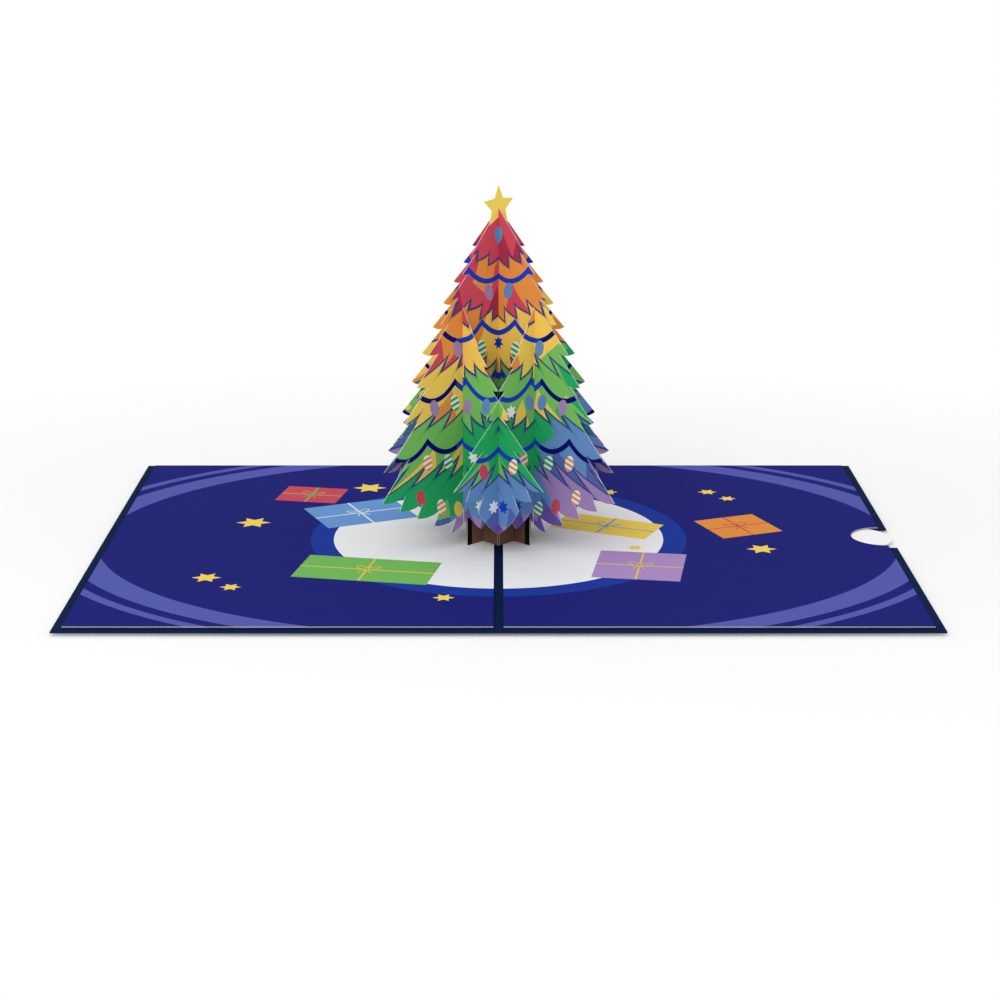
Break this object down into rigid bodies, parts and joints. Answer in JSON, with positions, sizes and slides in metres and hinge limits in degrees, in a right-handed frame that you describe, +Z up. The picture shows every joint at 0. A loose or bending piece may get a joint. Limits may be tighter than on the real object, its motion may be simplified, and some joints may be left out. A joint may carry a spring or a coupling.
{
  "type": "pop-up greeting card",
  "caption": "Open greeting card with an interlocking slotted paper tree standing on printed pages and a note that slides out of a side pocket by its thumb tab.",
  "frame": {"origin": "centre of the open card's underside, on the table under the spine", "axes": "+X across to the half with the note pocket, +Y along the spine to the back, +Z up along the tree"},
  "size_m": [0.254, 0.178, 0.1145],
  "materials": {
    "cover_card": "matt coated card, dark navy print",
    "page_print": "matt printed card, indigo ground",
    "tape": "white double-sided foam tape",
    "note_paper": "plain white writing card",
    "tree_paper": "matt printed paper, pale cut edges",
    "trunk_paper": "matt printed paper, brown"
  },
  "bodies": {
    "card": {"cover": "cover_card", "left_page": "page_print", "right_page": "page_print", "left_page_tape": "tape", "right_page_tape": "tape", "star_slice": "tree_paper", "cross_slice": "tree_paper", "front_right_slice": "tree_paper", "back_left_slice": "tree_paper", "front_left_slice": "tree_paper", "back_right_slice": "tree_paper", "front_right_trunk": "trunk_paper", "back_left_trunk": "trunk_paper", "front_left_trunk": "trunk_paper", "back_right_trunk": "trunk_paper"},
    "note": {"note_card": "note_paper"}
  },
  "joints": [
    {"name": "note_slide", "type": "slide", "parent": "card", "child": "note", "axis": [1, 0, 0], "range_m": [0, 0.095]}
  ]
}
